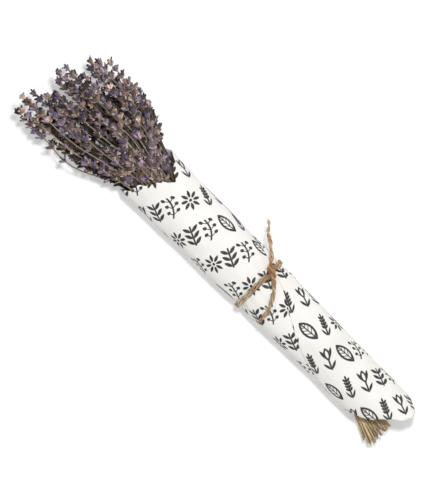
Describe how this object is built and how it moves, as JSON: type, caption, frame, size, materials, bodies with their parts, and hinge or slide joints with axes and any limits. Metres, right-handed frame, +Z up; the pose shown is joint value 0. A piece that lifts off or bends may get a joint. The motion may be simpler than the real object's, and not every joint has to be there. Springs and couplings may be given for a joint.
{
  "type": "dried lavender bunch",
  "caption": "Bunch of dried lavender rolled in a sheet of printed paper and tied with doubled jute twine, lying on its side.",
  "frame": {"origin": "on the surface the bunch lies on, under the middle of its box", "axes": "+X along the bunch from the cut ends to the flower heads, +Z up, +Y to the side that the twine's knot is away from"},
  "size_m": [0.4195, 0.0923, 0.0612],
  "materials": {
    "paper": "matt white, slightly translucent, with a dark grey print",
    "twine": "rough twisted jute",
    "lavender_stem": "dry, matt, tan to olive brown",
    "lavender_flower": "dry, matt, dusty violet"
  },
  "bodies": {
    "root": {"paper_wrap": "paper", "twine_tie": "twine", "stems_1": "lavender_stem", "stems_2": "lavender_stem", "stems_3": "lavender_stem", "stems_4": "lavender_stem", "stems_5": "lavender_stem", "stems_6": "lavender_stem", "stems_7": "lavender_stem", "spike_01": "lavender_flower", "spike_02": "lavender_flower", "spike_03": "lavender_flower", "spike_04": "lavender_flower", "spike_05": "lavender_flower", "spike_06": "lavender_flower", "spike_07": "lavender_flower", "spike_08": "lavender_flower", "spike_09": "lavender_flower", "spike_10": "lavender_flower", "spike_11": "lavender_flower", "spike_12": "lavender_flower", "spike_13": "lavender_flower", "spike_14": "lavender_flower", "spike_15": "lavender_flower", "spike_16": "lavender_flower", "spike_17": "lavender_flower", "spike_18": "lavender_flower", "spike_19": "lavender_flower", "spike_20": "lavender_flower", "spike_21": "lavender_flower", "spike_22": "lavender_flower", "spike_23": "lavender_flower", "spike_24": "lavender_flower", "spike_25": "lavender_flower", "spike_26": "lavender_flower", "spike_27": "lavender_flower", "spike_28": "lavender_flower", "spike_29": "lavender_flower", "spike_30": "lavender_flower", "spike_31": "lavender_flower", "spike_32": "lavender_flower", "spike_33": "lavender_flower", "spike_34": "lavender_flower", "spike_35": "lavender_flower", "spike_36": "lavender_flower", "spike_37": "lavender_flower", "spike_38": "lavender_flower", "spike_39": "lavender_flower", "spike_40": "lavender_flower", "spike_41": "lavender_flower", "spike_42": "lavender_flower", "spike_43": "lavender_flower", "spike_44": "lavender_flower", "spike_45": "lavender_flower", "spike_46": "lavender_flower", "spike_47": "lavender_flower", "spike_48": "lavender_flower", "spike_49": "lavender_flower"}
  },
  "joints": []
}
